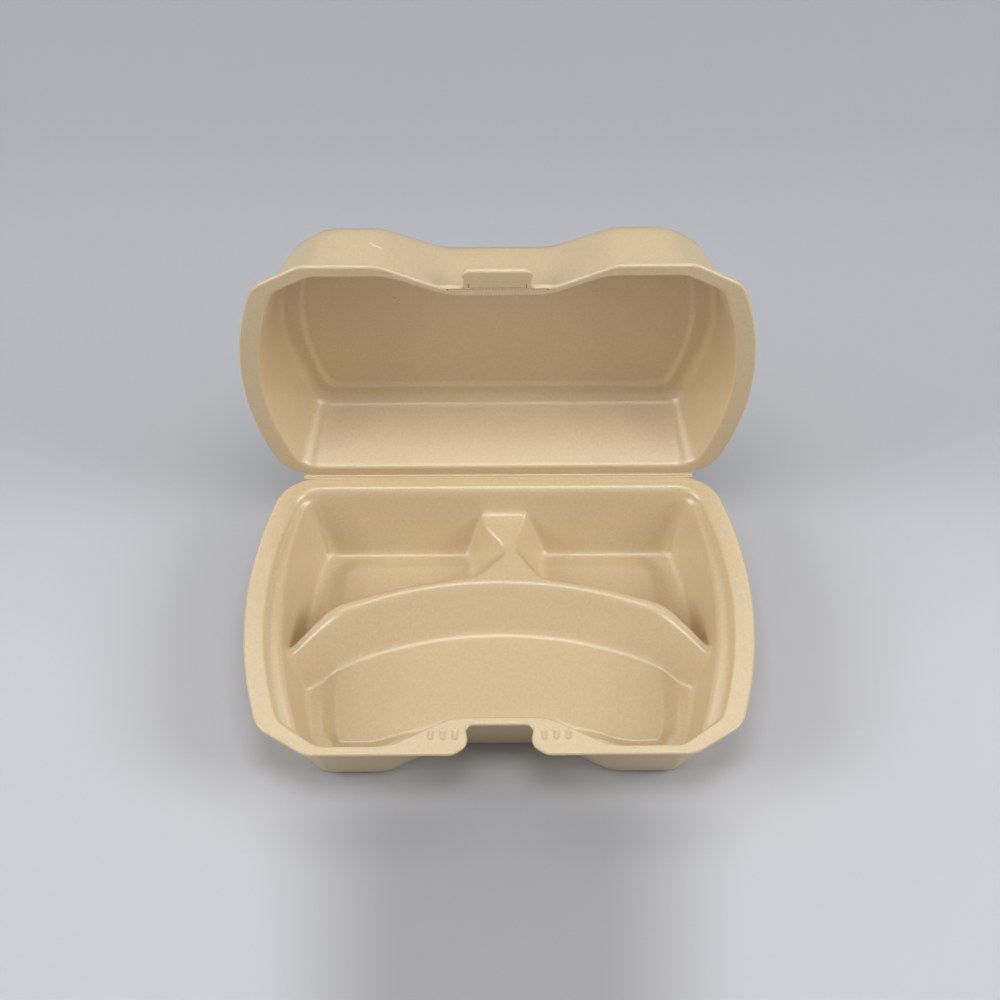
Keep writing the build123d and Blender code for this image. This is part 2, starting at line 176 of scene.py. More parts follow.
# right halves of the outlines, rear centre to front centre, each with the radii of its inner corners
FLANGE = arc_path(
    [
        (0, GROOVE),
        (HALF - 17.9, GROOVE),
        (HALF + 9.05, 75.5),
        (HALF - 7.6, 143.75),
        (HALF - 30.25, FRONT_EDGE),
        (21.5, FRONT_EDGE),
        (14.2, 153.8),
        (16.1, NOTCH_EDGE),
        (0, NOTCH_EDGE),
    ],
    [21.0, 208.0, 15.0, 10.5, 7.0, 7.0, 3.6],
)
RIM = arc_path(
    [
        (0, RIM_REAR),
        (HALF - 25.5, RIM_REAR),
        (HALF - 1.3, 76.0),
        (HALF - 16.9, 140.1),
        (HALF - 35.5, RIM_FRONT),
        (50.5, RIM_FRONT),
        (22.5, RIM_WAIST),
        (0, RIM_WAIST),
    ],
    [13.0, 198.0, 10.0, 9.0, 24.0, 24.0],
)
LID_FLANGE = arc_path(
    [
        (0, GROOVE),
        (HALF - 17.9, GROOVE),
        (HALF + 9.05, 75.5),
        (HALF - 7.7, 143.4),
        (HALF - 29.9, LID_FRONT_EDGE),
        (54.0, LID_FRONT_EDGE),
        (26.0, CREASE),
        (0, CREASE),
    ],
    [21.0, 208.0, 15.0, 10.5, 18.0, 16.0],
)
LID_RIM = arc_path(
    [
        (0, 6.8),
        (HALF - 25.0, 6.8),
        (HALF - 0.9, 75.5),
        (HALF - 16.4, 139.5),
        (HALF - 34.6, 151.5),
        (50.5, 151.5),
        (22.5, 137.6),
        (0, 137.6),
    ],
    [14.0, 198.0, 11.0, 9.0, 22.0, 22.0],
)


def body_half(depth):
    """Right half of the body's outline at a depth below the rim plane.

    Every point moves in by the wall's draft, and the corner radii go evenly from the ledge's to the foot's.
    """
    run = depth - LEDGE_DEPTH
    wall, side = run * SLOPE, run * SIDE_SLOPE
    share = run / (FOOT_DEPTH - LEDGE_DEPTH)
    top = LEDGE_DEPTH * SLOPE
    rear, front, waist = RIM_REAR + top + wall, RIM_FRONT - top - wall, RIM_WAIST - top - wall
    points = [
        (0, rear),
        (HALF - 28.0 - side * 0.72 - wall * 0.28, rear),
        (HALF - 10.3 - side, 76.3),
        (HALF - 26.4 - side * 0.9, 146.2 - wall * 0.6),
        (HALF - 36.4 - wall * 0.52, front),
        (50.0 + wall * 0.12, front),
        (22.0 + wall * 0.12, waist),
        (0, waist),
    ]
    ledge_radii = np.array([11.0, 226.0, 9.0, 9.0, 25.0, 23.0])
    foot_radii = np.array([7.5, 206.0, 8.0, 8.0, 34.0, 13.0])
    return arc_path(points, ledge_radii + (foot_radii - ledge_radii) * share)


# the dividing lines run on past the walls to these places
LINE_END_X = 200.0
BEYOND_FRONT = 320.0
BEYOND_REAR = -80.0
SHOULDER_R = 28.0


def open_room(points, radii, close):
    """Closed outline of a dividing line carried on past the walls."""
    return np.concatenate([arc_path(points, radii), np.array(close, float)])


def front_line(tip, end_d, shoulder, radius):
    """Outline of the front compartment's divider side, closed far in front of the box.

    Its two straight flanks would meet at the tip; an arc of the given radius cuts that corner off.
    """
    x, d = shoulder
    points = [(-LINE_END_X, end_d), (-x, d), (0, tip), (x, d), (LINE_END_X, end_d)]
    close = [(LINE_END_X, BEYOND_FRONT), (-LINE_END_X, BEYOND_FRONT)]
    return open_room(points, [SHOULDER_R, radius, SHOULDER_R], close)


def rear_line(points, radii, way):
    """Outline of a rear compartment's divider and post side, closed behind the box; way -1 mirrors it."""
    outline = open_room(points, radii, [(points[-1][0], BEYOND_REAR), (points[0][0], BEYOND_REAR)])
    return outline * [way, 1]


FRONT_TOP = front_line(CREST_MID - 10.8, 223.4, (77.5, CREST_MID + 16.5), 178.0)
FRONT_FOOT = front_line(FOOT_MID - 0.1315 * FOOT_ARC_R, 175.0, (82.5, FOOT_MID + 21.2), FOOT_ARC_R)
DIVIDER_TOP = [(LINE_END_X, CREST_MID + 163.0), (79.4, CREST_MID + 13.3), (52.0, CREST_MID + 3.0)]
DIVIDER_FOOT = [(LINE_END_X, CREST_MID + 132.0), (77.5, CREST_MID + 2.6), (50.0, CREST_MID - 6.2)]
RIGHT_TOP = rear_line(
    DIVIDER_TOP + [(19.5, CREST_MID - 3.3), (6.9, CREST_MID - 20.5), (17.4, 0.0), (21.0, -12.0)],
    [SHOULDER_R, 160.0, 10.0, 6.0, 4.0],
    1,
)
RIGHT_FOOT = rear_line(
    DIVIDER_FOOT + [(23.0, CREST_MID - 11.2), (21.6, CREST_MID - 21.5), (22.2, 0.0), (22.4, -12.0)],
    [16.0, 150.0, 10.0, 16.0, 6.0],
    1,
)
LEFT_TOP = rear_line(
    DIVIDER_TOP
    + [(10.5, CREST_MID - 4.2), (-6.4, CREST_MID - 19.2), (7.4, CREST_MID - 34.5), (7.4, 0.0), (7.4, -12.0)],
    [SHOULDER_R, 160.0, 10.0, 4.5, 5.0, 3.0],
    -1,
)
LEFT_FOOT = rear_line(
    DIVIDER_FOOT
    + [(15.6, CREST_MID - 11.6), (14.0, CREST_MID - 20.6), (14.4, CREST_MID - 25.4), (15.2, 0.0), (15.2, -12.0)],
    [16.0, 150.0, 10.0, 12.0, 12.0, 6.0],
    -1,
)
# each compartment's upper and lower outline, the rounding at its foot and at its crest, and its wall's slope
ROOMS = (
    (FRONT_TOP, FRONT_FOOT, 7.0, 5.0, 0.75),
    (RIGHT_TOP, RIGHT_FOOT, 5.0, 1.8, 0.45),
    (LEFT_TOP, LEFT_FOOT, 5.0, 1.8, 0.45),
)
PAD_FRONT = 130.9
PAD_WAIST = 118.6
PAD_SOFT_SIDE = 8.5
PAD_SOFT_FRONT = 2.0
PAD = arc_path(
    [(0, 30.0), (73.5, 30.0), (77.5, 80.0), (77.0, PAD_FRONT), (58.0, PAD_FRONT), (30.0, PAD_WAIST), (0, PAD_WAIST)],
    [7.0, 200.0, 3.0, 30.0, 14.0],
)
LID_FOOT = arc_path(
    [
        (0, 17.35),
        (87.5, 17.35),
        (104.8, 74.0),
        (101.0, 108.0),
        (90.0, 130.4),
        (78.0, 140.95),
        (53.0, 140.95),
        (25.0, 127.05),
        (0, 127.05),
    ],
    [11.0, 120.0, 40.0, 22.0, 14.0, 20.0, 24.0],
)
LID_PANEL = arc_path(
    [(0, 26.1), (81.5, 26.1), (99.0, 76.0), (85.5, 132.2), (56.5, 132.2), (28.5, 118.3), (0, 118.3)],
    [7.0, 150.0, 7.0, 14.0, 34.0],
)


def drafted(top, foot, top_depth, foot_depth, plan, skin):
    """Depth of a wall that runs straight from one outline to another.

    At a point the share of the fall is its distance inside the upper outline over the run between the two.
    """
    upper = inside(top, plan)
    run = np.maximum(upper - inside(foot, plan), 0.5)
    return top_depth + (foot_depth - top_depth) * (upper + skin) / run


POST_MID = 2.0
POST_REACH = 27.0
POST_REAR = 14.0
POST_FRONT = 50.0
POST_CIRCLES = (2.4, 4.6)


def softened(top, foot, top_depth, foot_depth, plan, skin):
    """The same wall, averaged over two small circles round each point near the post, so its sides are smooth cones."""
    depth = drafted(top, foot, top_depth, foot_depth, plan, skin)
    share = ramp((POST_REACH - np.abs(plan[:, 0] - POST_MID)) / 6.0)
    share = share * ramp((POST_FRONT - plan[:, 1]) / 5.0) * ramp((plan[:, 1] - POST_REAR) / 6.0)
    near = share > 0
    total = np.zeros(near.sum())
    angles = np.linspace(0, 2 * math.pi, 9)[:-1]
    for reach in POST_CIRCLES:
        for angle in angles:
            shift = reach * np.array([math.cos(angle), math.sin(angle)])
            total += drafted(top, foot, top_depth, foot_depth, plan[near] + shift, skin)
    depth[near] += share[near] * (total / (len(POST_CIRCLES) * len(angles)) - depth[near])
    return depth


DENTS = [(side * x, 148.4) for x in (20.6, 26.2, 31.8) for side in (-1, 1)]
DENT_HALF = 1.6
DENT_DEPTH = 0.6
DENT_FLAT = 0.2
DENT_EDGE = 1.7


def dents(plan):
    """Depth of the small oblong dents beside the notch: a rounded trough round each short centre line."""
    depth = np.zeros(len(plan))
    for x, d in DENTS:
        along = np.clip(plan[:, 1], d - DENT_HALF, d + DENT_HALF)
        away = np.hypot(plan[:, 0] - x, plan[:, 1] - along)
        depth += DENT_DEPTH * ramp(1.0 - (away - DENT_FLAT) / DENT_EDGE)
    return depth


def floor_depth(plan, step):
    """Depth of the floor with its raised pad, whose edge is wide at the sides and narrow at the front."""
    soft = PAD_SOFT_SIDE - (PAD_SOFT_SIDE - PAD_SOFT_FRONT) * ramp((plan[:, 1] - 122.0) / 7.0)
    share = (inside(whole(PAD), plan) + soft - 0.5) / soft
    return FOOT_DEPTH + step - FLOOR_RISE * (0.6 * np.clip(share, 0, 1) + 0.4 * ramp(share))


RIM_R = 1.3
REAR_RIM_R = 4.0
LEDGE_R = 3.0
LEDGE_BLEND = 2.4
FAR_RIM_R = 0.7
FAR_CREST_R = 0.8
FAR_LEDGE_R = 1.0
WALL_FOOT_R = 5.0
LID_RIM_R = 1.5
LID_FOOT_R = 6.0
LID_FAR_FOOT_R = 3.5


def base_depth(plan, step):
    """Depth of the base's near face, or of its far face when step is the sheet's thickness.

    Each compartment is a drafted wall rounded into the floor and over the crest, and the deepest one counts.
    The body's walls, the ledge and the rim's wall follow, the shallower or the deeper of each pair with an arc.
    """
    skin = step / math.cos(DRAFT)
    far = step > 0
    crest = CREST_DEPTH + step
    floor = floor_depth(plan, step)
    rooms = np.full(len(plan), crest)
    for top, foot, foot_r, crest_r, slope in ROOMS:
        room = softened(top, foot, crest, FOOT_DEPTH + step, plan, skin * 0.9)
        room = filleted(room, floor, foot_r + step, slope)
        rooms = np.maximum(rooms, rounded(room, crest, FAR_CREST_R if far else crest_r, slope))
    ledge, body_foot = whole(body_half(LEDGE_DEPTH)), whole(body_half(FOOT_DEPTH))
    walls = drafted(ledge, body_foot, LEDGE_DEPTH + step, FOOT_DEPTH + step, plan, skin)
    bowl = filleted(walls, rooms, WALL_FOOT_R + step, SLOPE)
    bowl = rounded(bowl, LEDGE_DEPTH + step, FAR_LEDGE_R if far else LEDGE_R, SIDE_SLOPE)
    rim_wall = (inside(whole(RIM), plan) + skin) / SLOPE
    if far:
        return rounded(filleted(bowl, rim_wall, FAR_LEDGE_R, SLOPE), step, FAR_RIM_R, SLOPE)
    rear = ramp((30.0 - plan[:, 1]) / 16.0)
    bowl = soft_min(bowl, rim_wall, LEDGE_BLEND)
    return rounded(bowl, step, RIM_R + (REAR_RIM_R - RIM_R) * rear, SLOPE) + dents(plan)


def lid_depth(plan, step):
    """Depth of the lid's face: drafted wall, ceiling with a raised panel, rounded at the rim and the ceiling."""
    skin = step / math.cos(DRAFT)
    far = step > 0
    wall = drafted(whole(LID_RIM), whole(LID_FOOT), step, LID_DEPTH + step, plan, skin)
    ceiling = LID_DEPTH + step + LID_PANEL_RISE * ramp(inside(whole(LID_PANEL), plan) / 3.0 + 0.2)
    hollow = filleted(wall, ceiling, LID_FAR_FOOT_R if far else LID_FOOT_R, SLOPE)
    return rounded(hollow, step, FAR_RIM_R if far else LID_RIM_R, SLOPE)


def stations(path, marks, counts):
    """Points along a path, evenly spaced between marks, which are plan points near it."""
    length = np.concatenate([[0], np.cumsum(np.linalg.norm(np.diff(path, axis=0), axis=1))])
    places = [0.0]
    for mark in marks:
        places.append(length[np.argmin(np.linalg.norm(path - np.array(mark), axis=1))])
    places.append(length[-1])
    along = [np.linspace(a, b, n, endpoint=False) for a, b, n in zip(places, places[1:], counts)]
    along = np.concatenate(along + [[length[-1]]])
    return np.stack([np.interp(along, length, path[:, i]) for i in (0, 1)], 1)


def sheet_rings(edge, rim, spine, edge_round, flange_rings, places, middle_rings):
    """Right halves of one face's rings, from the cut edge over the rim and in to the spine, and their edge drops.

    Edge rings follow a quarter circle. Land rings divide the way to the first place. Places are distances in
    from the rim along its normal, which turns towards the spine; the middle rings then run evenly to the spine.
    """
    inward = offset(edge, 1.0) - edge
    normal = offset(rim, 1.0) - rim
    way = spine - rim
    way /= np.linalg.norm(way, axis=1)[:, None]
    angle = np.linspace(0, math.pi / 2, 5)
    plans = [edge + inward * edge_round[:, None] * (1 - math.cos(a)) for a in angle]
    drops = [edge_round * (1 - math.sin(a)) for a in angle]
    room = -inside(whole(rim), edge) - edge_round
    squeeze = np.minimum(1, -0.75 * room / places[0])[:, None]
    first = rim + normal * places[0] * squeeze
    shares = np.linspace(0, 1, flange_rings + 2)[1:-1]
    plans += [plans[4] + (first - plans[4]) * share for share in shares]
    for place in places:
        lean = ramp(place / 24.0)
        plans.append(rim + (normal * (1 - lean) + way * lean) * place * (squeeze if place < 0 else 1))
    last = plans[-1]
    plans += [last + (spine - last) * share for share in np.linspace(0, 1, middle_rings + 1)[1:]]
    drops += [np.zeros(len(edge))] * (len(plans) - len(drops))
    return np.stack(plans), np.stack(drops)


# distances of the rings from the rim, then how many rings cross the flange and the middle, for each face
FACE_PLACES = np.concatenate([[-1.3, -0.9, -0.5, -0.2, 0.1, 0.4], np.linspace(0.8, 22.0, 32)])
FAR_PLACES = np.concatenate([[-4.0, -3.0, -2.4, -1.9], np.linspace(-1.2, 20.0, 14)])
FACES = ((0.0, FACE_PLACES, 16, 46), (SHEET, FAR_PLACES, 5, 14))
SPINE_HALF = 45.0
SPINE_D = 78.0


def moulded_sheet(edge, rim, depth_of, edge_round):
    """Closed shell of a moulded sheet: face rings and far rings meet in a rounded cut edge.

    edge and rim are matched right halves, and a ring's point slides from edge to rim to a straight spine.
    The depth of every point comes from depth_of, a function of plan and thickness. The last ring folds
    onto the spine, where its front and rear points are the same. Returns points (x, d, depth) and quads.
    """
    count = len(edge)
    turn = np.linspace(0, math.pi, count)
    spine = np.stack([SPINE_HALF * np.sin(turn), np.full(count, SPINE_D)], 1)
    layers = []
    for step, places, flange_rings, middle_rings in FACES:
        plans, drops = sheet_rings(edge, rim, spine, edge_round, flange_rings, places, middle_rings)
        plans = np.concatenate([plans, plans[:, -2:0:-1] * [-1, 1]], 1)
        drops = np.concatenate([drops, drops[:, -2:0:-1]], 1)
        depth = depth_of(plans.reshape(-1, 2), step).reshape(plans.shape[:2])
        depth = depth + drops * (1 if step == 0 else -1)
        layers.append(np.concatenate([plans, depth[..., None]], 2))
    rows = np.concatenate([layers[1][::-1], layers[0]])
    around = 2 * (count - 1)
    index = np.arange(len(rows) * around).reshape(len(rows), around)
    place = np.arange(around)
    right = np.minimum(place, around - place)
    folded = np.minimum(right, count - 1 - right)
    folded = np.where(place < count, folded, (around - folded) % around)
    index[0] = index[0][folded]
    index[-1] = index[-1][folded]
    return rows.reshape(-1, 3), grid_faces(index)


def grid_faces(index):
    """Quads between consecutive rows of a table of point numbers whose columns close round."""
    right = np.roll(index, -1, 1)
    return np.stack([index[:-1], right[:-1], right[1:], index[1:]], -1).reshape(-1, 4)


def lofted(rings):
    """Closed skin through rings of points, with a flat cap at each end."""
    count = rings.shape[1]
    index = np.arange(rings.shape[0] * count).reshape(rings.shape[0], count)
    return rings.reshape(-1, 3), [tuple(q) for q in grid_faces(index)] + [tuple(index[0][::-1]), tuple(index[-1])]


def slab(xs, low_d, high_d, low, high, edge_round):
    """Plate between two lines d(x), lofted across x, whose section is a rectangle with rounded corners.

    The section at each x runs round the four corner arcs in d and depth; the end sections shrink by the rounding.
    """
    turn = np.linspace(0, 2 * math.pi, 25)[:-1] + math.pi / 24
    shrink = np.minimum(np.minimum(xs - xs[0], xs[-1] - xs), edge_round)
    tuck = edge_round - np.sqrt(np.maximum(edge_round**2 - (edge_round - shrink) ** 2, 0))
    half_d = np.maximum((high_d - low_d) / 2 - tuck, 0.05)[:, None]
    half_h = np.maximum((high - low) / 2 - tuck, 0.05)[:, None]
    bend = np.minimum(edge_round, np.minimum(half_d, half_h) * 0.9)
    d = ((low_d + high_d) / 2)[:, None] + np.sign(np.cos(turn)) * (half_d - bend) + bend * np.cos(turn)
    h = (low + high) / 2 + np.sign(np.sin(turn)) * (half_h - bend) + bend * np.sin(turn)
    return lofted(np.stack([np.repeat(xs[:, None], len(turn), 1), d, h], 2))


def spread(low, high, edge_round, middle):
    """Stations from low to high, close together over the rounding at both ends."""
    ends = edge_round * (1 - np.cos(np.linspace(0, math.pi / 2, 5)))
    between = np.linspace(low + edge_round, high - edge_round, middle)
    return np.concatenate([low + ends[:-1], between, high - ends[-2::-1]])


def base_place(points):
    """Shared-frame metres of the base's (x, d, depth) points."""
    out = np.empty_like(points)
    out[:, 0] = points[:, 0] * MM
    out[:, 1] = HINGE[1] - points[:, 1] * MM
    out[:, 2] = HINGE[2] - (LID_GAP / 2 + points[:, 2]) * MM
    return out


def lid_place(points):
    """Shared-frame metres of the lid's (x, d, depth) points: closed over the base, then turned open."""
    forward = -points[:, 1] * MM
    up = (LID_GAP / 2 + points[:, 2]) * MM
    angle = math.radians(LID_OPEN)
    out = np.empty_like(points)
    out[:, 0] = points[:, 0] * MM
    out[:, 1] = HINGE[1] + forward * math.cos(angle) + up * math.sin(angle)
    out[:, 2] = HINGE[2] - forward * math.sin(angle) + up * math.cos(angle)
    return out


def facing_out(spot, quads):
    """Faces without repeated corners, turned over if the volume they enclose is negative."""
    faces = [tuple(dict.fromkeys(int(i) for i in q)) for q in quads]
    a, b, c, d = (spot[[q[i] for q in faces]] for i in (0, 1, 2, -1))
    volume = (np.cross(a, b) * c).sum() + (np.cross(a, c) * d).sum()
    return [q[::-1] for q in faces] if volume < 0 else faces


def make_piece(name, parts, place, node, body, material):
    """One mesh of several closed skins, which rides a body and stands for a node."""
    spots, faces = [], []
    start = 0
    for points, quads in parts:
        spot = place(points)
        faces += [tuple(i + start for i in q) for q in facing_out(spot, quads)]
        spots.append(spot)
        start += len(spot)
    vertices = np.concatenate(spots)
    used = np.zeros(len(vertices), bool)
    used[np.concatenate([np.array(q) for q in faces])] = True
    number = np.cumsum(used) - 1
    mesh = bpy.data.meshes.new(name)
    mesh.from_pydata(vertices[used].tolist(), [], [tuple(int(number[i]) for i in q) for q in faces])
    mesh.shade_smooth()
    mesh.materials.append(material)
    piece = bpy.data.objects.new(name, mesh)
    bpy.context.scene.collection.objects.link(piece)
    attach(piece, body)
    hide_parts(node)


def noise(nodes, links, where, scale, label):
    """Noise texture's factor at a scale, where counts in metres."""
    node = nodes.new("ShaderNodeTexNoise")
    node.label = label
    node.inputs["Scale"].default_value = scale
    node.inputs["Detail"].default_value = 2.0
    links.new(where, node.inputs["Vector"])
    return node.outputs["Fac"]


def mixed(nodes, links, factor, low, high):
    """Colour between two, by a factor socket."""
    node = nodes.new("ShaderNodeMix")
    node.data_type = "RGBA"
    links.new(factor, node.inputs["Factor"])
    for socket, value in ((node.inputs[6], low), (node.inputs[7], high)):
        if isinstance(value, tuple):
            socket.default_value = value
        else:
            links.new(value, socket)
    return node.outputs[2]


def ranged(nodes, links, value, low, high, to_low, to_high):
    """Value carried from one range to another and held at its ends."""
    node = nodes.new("ShaderNodeMapRange")
    node.inputs["From Min"].default_value = low
    node.inputs["From Max"].default_value = high
    node.inputs["To Min"].default_value = to_low
    node.inputs["To Max"].default_value = to_high
    links.new(value, node.inputs["Value"])
    return node.outputs["Result"]


def math_node(nodes, links, kind, *sources):
    """Math node of a kind; a number fills its socket and anything else is linked to it."""
    node = nodes.new("ShaderNodeMath")
    node.operation = kind
    for socket, source in zip(node.inputs, sources):
        if isinstance(source, (int, float)):
            socket.default_value = source
        else:
            links.new(source, socket)
    return node.outputs[0]


def vector_node(nodes, links, kind, output, *sources):
    """Vector math node of a kind, filled in the same way."""
    node = nodes.new("ShaderNodeVectorMath")
    node.operation = kind
    for socket, source in zip(node.inputs, sources):
        if isinstance(source, (tuple, list, np.ndarray)):
            socket.default_value = tuple(float(v) for v in source)
        else:
            links.new(source, socket)
    return node.outputs[output]


def stroke(nodes, links, where, start, end, radius, edge):
    """1 inside a round-ended stroke between two places in the shared frame, falling to 0 over its edge.

    Along is the share of the way to the end, clipped to 0..1; the mask follows the distance from that place.
    """
    start, end = np.array(start), np.array(end)
    way = end - start
    size = max(float(way @ way), 1e-12)
    arm = vector_node(nodes, links, "SUBTRACT", "Vector", where, start)
    along = vector_node(nodes, links, "DOT_PRODUCT", "Value", arm, way / size)
    along = ranged(nodes, links, along, 0.0, 1.0, 0.0, 1.0)
    carried = nodes.new("ShaderNodeVectorMath")
    carried.operation = "SCALE"
    carried.inputs[0].default_value = tuple(float(v) for v in way)
    links.new(along, carried.inputs["Scale"])
    away = vector_node(nodes, links, "DISTANCE", "Value", arm, carried.outputs["Vector"])
    return ranged(nodes, links, away, radius, radius + edge, 1.0, 0.0)


FOAM_LIGHT = (0.700, 0.558, 0.350, 1)
FOAM_DARK = (0.640, 0.494, 0.290, 1)
CUT_DARK = (0.20, 0.13, 0.06, 1)
CUT_SHARE = 0.75
CUT_REACH = 22.8 * MM
CUT_PERIOD = 1.45 * MM
GRAIN_SCALE = 1900.0
MOTTLE_SCALE = 700.0
CLOUD_SCALE = 14.0
GRAIN_BUMP = (0.16, 0.2 * MM)
DENT_BUMP = (0.8, 0.45 * MM)

# nicks at the crease's ends, a light scratch on the lid's front wall and two specks: start and end in the
# shared frame in metres, radius and soft edge in millimetres, colour and strength
MARKS = [
    ((-0.0226, 0.0586, 0.1819), (-0.0226, 0.0600, 0.1816), 0.25, 0.3, (0.16, 0.10, 0.05, 0.9)),
    ((0.0230, 0.0586, 0.1819), (0.0230, 0.0600, 0.1816), 0.25, 0.3, (0.16, 0.10, 0.05, 0.9)),
    ((-0.0577, 0.0828, 0.1871), (-0.0556, 0.0805, 0.1877), 0.12, 0.35, (0.92, 0.88, 0.78, 0.75)),
    ((-0.0556, 0.0805, 0.1877), (-0.0528, 0.0792, 0.1878), 0.15, 0.35, (0.92, 0.88, 0.78, 0.75)),
    ((-0.0481, 0.0950, 0.1319), (-0.0481, 0.0965, 0.1319), 0.25, 0.35, (0.30, 0.20, 0.11, 0.75)),
    ((-0.0414, 0.0728, 0.1848), (-0.0414, 0.0728, 0.1858), 0.20, 0.35, (0.34, 0.25, 0.15, 0.45)),
]


def perforation(nodes, links, where):
    """Mask of the crease's cuts: short dashes along x at one height of the standing lid, on both sides."""
    height = lid_place(np.array([[0.0, CREASE - 0.45, 0.0]]))[0][2]
    axes = nodes.new("ShaderNodeSeparateXYZ")
    links.new(where, axes.inputs[0])
    off = math_node(nodes, links, "ABSOLUTE", math_node(nodes, links, "SUBTRACT", axes.outputs[2], float(height)))
    line = ranged(nodes, links, off, 0.10 * MM, 0.42 * MM, 1.0, 0.0)
    out = math_node(nodes, links, "ABSOLUTE", axes.outputs[0])
    reach = ranged(nodes, links, out, CUT_REACH, CUT_REACH + 0.3 * MM, 1.0, 0.0)
    beat = math_node(nodes, links, "FRACT", math_node(nodes, links, "DIVIDE", out, CUT_PERIOD))
    beat = math_node(nodes, links, "ABSOLUTE", math_node(nodes, links, "SUBTRACT", beat, 0.5))
    dash = ranged(nodes, links, beat, 0.22, 0.34, 1.0, 0.25)
    return math_node(nodes, links, "MULTIPLY", math_node(nodes, links, "MULTIPLY", line, reach), dash)


def foam_colour(nodes, links, where, speckle):
    """Foam's colour: two close tones by the speckle, faint wide clouds, the crease's cuts and the small marks."""
    colour = mixed(nodes, links, ranged(nodes, links, speckle, 0.72, 1.28, 0.0, 1.0), FOAM_DARK, FOAM_LIGHT)
    cloud = noise(nodes, links, where, CLOUD_SCALE, "cloud")
    shade = nodes.new("ShaderNodeVectorMath")
    shade.operation = "SCALE"
    links.new(colour, shade.inputs[0])
    links.new(ranged(nodes, links, cloud, 0.3, 0.7, 0.98, 1.02), shade.inputs["Scale"])
    cut = math_node(nodes, links, "MULTIPLY", perforation(nodes, links, where), CUT_SHARE)
    colour = mixed(nodes, links, cut, shade.outputs["Vector"], CUT_DARK)
    for start, end, radius, edge, (red, green, blue, strength) in MARKS:
        mask = stroke(nodes, links, where, start, end, radius * MM, edge * MM)
        mask = math_node(nodes, links, "MULTIPLY", mask, strength)
        colour = mixed(nodes, links, mask, colour, (red, green, blue, 1))
    return colour


def dent_height(nodes, links, where):
    """Height that is 0 on the flange and -1 along each dent's middle."""
    height = 0.0
    for x, d in DENTS:
        near, far = base_place(np.array([[x, d - 1.7, 0.0], [x, d + 1.7, 0.0]]))
        mask = stroke(nodes, links, where, near, far, 0.5 * MM, 1.0 * MM)
        height = math_node(nodes, links, "SUBTRACT", height, mask)
    return height


def bumped(nodes, links, height, bump):
    """Bump node of a strength and a distance for a height."""
    node = nodes.new("ShaderNodeBump")
    node.inputs["Strength"].default_value, node.inputs["Distance"].default_value = bump
    links.new(height, node.inputs["Height"])
    return node


def new_material(name):
    """Material with its nodes, its links, its shader and the Object coordinates."""
    material = bpy.data.materials.new(name)
    material.use_nodes = True
    nodes, links = material.node_tree.nodes, material.node_tree.links
    return material, nodes, links, nodes["Principled BSDF"], nodes.new("ShaderNodeTexCoord").outputs["Object"]


def foam_skin(name):
    """Pressed foam: fine grain over small mottling, a soft sheen and a grainy bump over the dents' own."""
    material, nodes, links, shader, where = new_material(name)
    grain = noise(nodes, links, where, GRAIN_SCALE, "grain")
    mottle = noise(nodes, links, where, MOTTLE_SCALE, "mottle")
    speckle = math_node(nodes, links, "ADD", grain, mottle)
    links.new(foam_colour(nodes, links, where, speckle), shader.inputs["Base Color"])
    links.new(ranged(nodes, links, mottle, 0.3, 0.7, 0.28, 0.36), shader.inputs["Roughness"])
    shader.inputs["Specular IOR Level"].default_value = 1.0
    dented = bumped(nodes, links, dent_height(nodes, links, where), DENT_BUMP)
    grainy = bumped(nodes, links, speckle, GRAIN_BUMP)
    links.new(dented.outputs["Normal"], grainy.inputs["Normal"])
    links.new(grainy.outputs["Normal"], shader.inputs["Normal"])
    return material


FLOOR_FRONT = (0.560, 0.568, 0.600, 1)
# the back's grey is darker as painted shade, standing in for the light falling off away from the camera
FLOOR_BACK_PAINTED_SHADE = (0.395, 0.410, 0.440, 1)
# painted shade: the darker grey laid in a soft-edged strip on the floor before the box
FLOOR_PAINTED_SHADE = (0.350, 0.350, 0.366, 1)


def floor_skin(name):
    """Matt pale grey with painted shade: darker towards the back, where the light falls off, and in a soft-edged strip
    before the box.
    """
    material, nodes, links, shader, where = new_material(name)
    axes = nodes.new("ShaderNodeSeparateXYZ")
    links.new(where, axes.inputs[0])
    # painted shade: the grey darkens from front to back in place of the light's fall-off
    back = ranged(nodes, links, axes.outputs[1], -0.04, 0.33, 0.0, 1.0)
    colour = mixed(nodes, links, back, FLOOR_FRONT, FLOOR_BACK_PAINTED_SHADE)
    # painted shade: a soft-edged strip before the box, mixed towards the darker grey
    aside = math_node(nodes, links, "ABSOLUTE", axes.outputs[0])
    strip = ranged(nodes, links, aside, 0.040, 0.120, 1.0, 0.0)
    ahead = ranged(nodes, links, axes.outputs[1], -0.115, -0.055, 1.0, 0.0)
    for node in (strip.node, ahead.node):
        node.interpolation_type = "SMOOTHSTEP"
    colour = mixed(nodes, links, math_node(nodes, links, "MULTIPLY", strip, ahead), colour, FLOOR_PAINTED_SHADE)
    links.new(colour, shader.inputs["Base Color"])
    shader.inputs["Roughness"].default_value = 0.85
    shader.inputs["Specular IOR Level"].default_value = 0.1
    return material


def hinge_bead():
    """Round bead along the hinge: circles whose radius falls as a quarter circle at both ends."""
    x = spread(-HINGE_HALF, HINGE_HALF, BEAD_R, 60)
    end = np.minimum(np.minimum(x + HINGE_HALF, HINGE_HALF - x), BEAD_R)
    radius = np.maximum(np.sqrt(np.maximum(BEAD_R**2 - (BEAD_R - end) ** 2, 0)), 0.05)[:, None]
    turn = np.linspace(0, 2 * math.pi, 17)[:-1]
    across = np.repeat(x[:, None], len(turn), 1)
    return lofted(np.stack([across, radius * np.cos(turn), radius * np.sin(turn) - LID_GAP / 2], 2))


